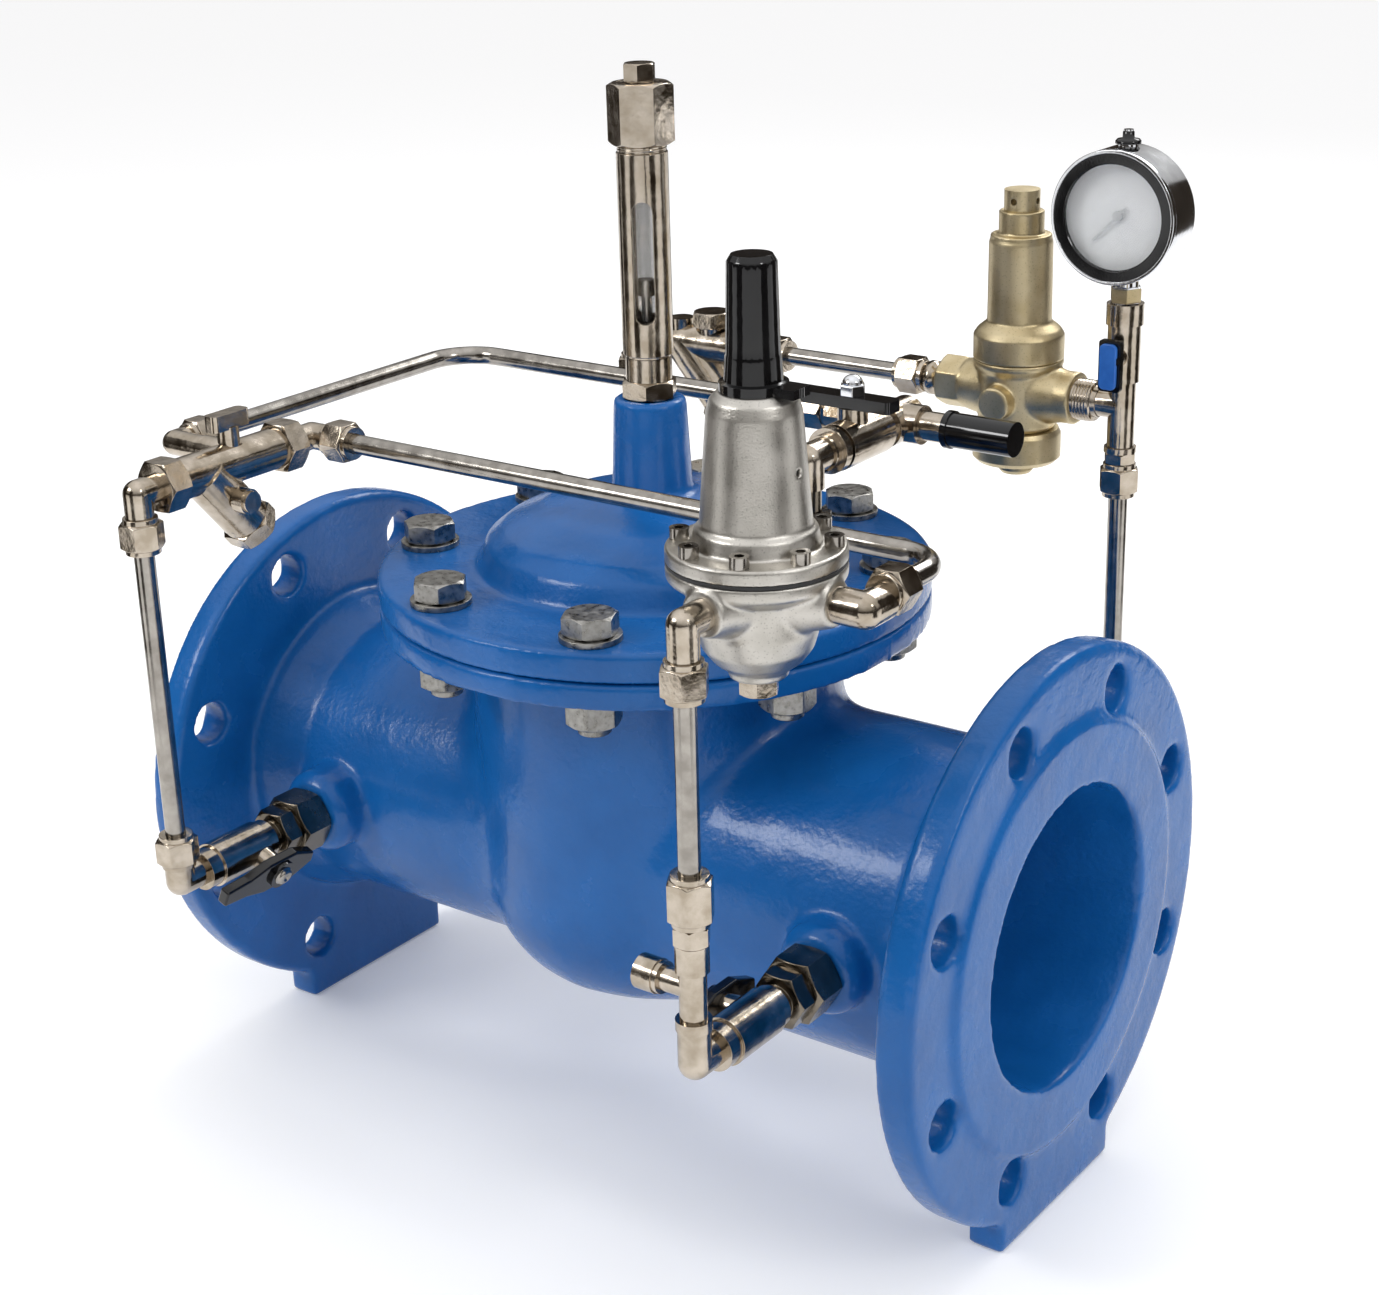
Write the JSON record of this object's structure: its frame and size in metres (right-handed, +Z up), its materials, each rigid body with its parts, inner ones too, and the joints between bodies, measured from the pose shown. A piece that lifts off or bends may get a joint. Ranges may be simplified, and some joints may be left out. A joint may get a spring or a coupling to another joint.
{
  "type": "pressure reducing valve",
  "caption": "Flanged pilot-operated pressure reducing valve with control piping, pilot, direct-acting reducer, gauge and opening indicator.",
  "frame": {"origin": "centre of the inlet flange's sealing face, on the pipe axis", "axes": "+X downstream along the pipe axis, +Z up along the stem, +Y away from the pilot side"},
  "size_m": [0.48, 0.4135, 0.54],
  "materials": {
    "blue_epoxy": "thick glossy fusion-bonded epoxy",
    "cast_stainless": "satin blasted casting",
    "stainless": "polished drawn stainless",
    "nickel_plate": "bright nickel plate on brass",
    "dark_nickel": "dark nickel plate",
    "brass": "sand-cast and machined brass",
    "zinc_steel": "zinc-plated fastener",
    "black_plastic": "glossy moulded",
    "blue_grip": "moulded grip",
    "rubber": "moulded elastomer",
    "clear_glass": "clear",
    "dial_white": "matt enamel",
    "pointer_grey": "matt",
    "gauge_chrome": "polished",
    "spring_steel": "bright"
  },
  "bodies": {
    "valve": {"main_body": "blue_epoxy", "cover": "blue_epoxy", "cover_bolts": "zinc_steel", "cover_washers": "zinc_steel", "cover_nuts": "zinc_steel", "seat_ring": "stainless", "diaphragm": "rubber", "main_spring": "spring_steel", "sight_base_nut": "nickel_plate", "sight_housing": "nickel_plate", "sight_glass": "clear_glass", "sight_cap_nut": "nickel_plate", "sight_vent_plug": "nickel_plate", "pilot_body": "cast_stainless", "pilot_bonnet": "cast_stainless", "pilot_diaphragm": "rubber", "pilot_screws": "stainless", "setting_springs": "spring_steel", "pilot_bottom_plug": "nickel_plate", "reducer_body": "brass", "reducer_bonnet": "brass", "reducer_bottom_cap": "brass", "boss_adapters": "dark_nickel", "riser_tubes": "stainless", "supply_tube": "stainless", "control_tube": "stainless", "elbow_fittings": "nickel_plate", "compression_nuts": "nickel_plate", "tee_fittings": "nickel_plate", "isolating_valve_bodies": "nickel_plate", "gauge_valve_body": "nickel_plate", "control_valve_body": "nickel_plate", "needle_valve_body": "stainless", "strainer_bodies": "nickel_plate", "strainer_caps": "nickel_plate", "gauge_case": "gauge_chrome", "gauge_bezel": "black_plastic", "gauge_window": "clear_glass", "gauge_dial": "dial_white"},
    "closing_set": {"stem": "stainless", "valve_disc": "cast_stainless", "disc_seal": "rubber", "diaphragm_plates": "blue_epoxy", "stem_nut": "stainless", "indicator_rod": "stainless"},
    "pilot_cap": {"pilot_cap": "black_plastic"},
    "pilot_screw": {"pilot_adjusting_screw": "stainless"},
    "pilot_plug": {"pilot_plug": "stainless"},
    "reducer_spindle": {"reducer_spindle": "brass"},
    "inlet_valve": {"inlet_valve_handle": "black_plastic", "inlet_valve_ball": "stainless"},
    "outlet_valve": {"outlet_valve_handle": "black_plastic", "outlet_valve_ball": "stainless"},
    "gauge_valve": {"gauge_valve_lever": "blue_grip", "gauge_valve_ball": "stainless"},
    "control_valve": {"control_valve_lever": "black_plastic", "control_valve_ball": "stainless"},
    "needle_valve": {"needle_valve_knob": "black_plastic"},
    "strainer_valve": {"strainer_key": "nickel_plate"},
    "gauge_pointer": {"gauge_pointer": "pointer_grey"}
  },
  "joints": [
    {"name": "closing_lift", "type": "slide", "parent": "valve", "child": "closing_set", "axis": [0, 0, 1], "range_m": [0, 0.03], "deforming": ["diaphragm", "main_spring"]},
    {"name": "cap_lift", "type": "slide", "parent": "valve", "child": "pilot_cap", "axis": [0, 0, 1], "range_m": [0, 0.07]},
    {"name": "pilot_setting", "type": "hinge", "parent": "valve", "child": "pilot_screw", "pos_m": [0.398, -0.137, 0.3], "axis": [0, 0, 1], "continuous": true},
    {"name": "pilot_plug_travel", "type": "slide", "parent": "valve", "child": "pilot_plug", "axis": [0, 0, 1], "range_m": [0, 0.003]},
    {"name": "reducer_setting", "type": "hinge", "parent": "valve", "child": "reducer_spindle", "pos_m": [0.342, 0.19, 0.306], "axis": [0, 0, 1], "continuous": true},
    {"name": "inlet_valve_turn", "type": "hinge", "parent": "valve", "child": "inlet_valve", "pos_m": [0.076, -0.142, 0], "axis": [0.9063, 0, -0.4226], "range_deg": [0, 90]},
    {"name": "outlet_valve_turn", "type": "hinge", "parent": "valve", "child": "outlet_valve", "pos_m": [0.398, -0.142, 0], "axis": [-1, 0, 0], "range_deg": [0, 90]},
    {"name": "gauge_valve_turn", "type": "hinge", "parent": "valve", "child": "gauge_valve", "pos_m": [0.403, 0.19, 0.232], "axis": [0, -1, 0], "range_deg": [0, 90]},
    {"name": "control_valve_turn", "type": "hinge", "parent": "valve", "child": "control_valve", "pos_m": [0.328, 0.048, 0.21], "axis": [0, 0, 1], "range_deg": [0, 90]},
    {"name": "needle_valve_turn", "type": "hinge", "parent": "valve", "child": "needle_valve", "pos_m": [0.36, 0.089, 0.21], "axis": [1, 0, 0], "continuous": true},
    {"name": "strainer_valve_turn", "type": "hinge", "parent": "valve", "child": "strainer_valve", "pos_m": [0.076, -0.129, 0.218], "axis": [0, 0, 1], "range_deg": [0, 90]},
    {"name": "gauge_pointer_turn", "type": "hinge", "parent": "valve", "child": "gauge_pointer", "pos_m": [0.402, 0.172, 0.305], "axis": [0, 1, 0], "range_deg": [0, 270]}
  ]
}
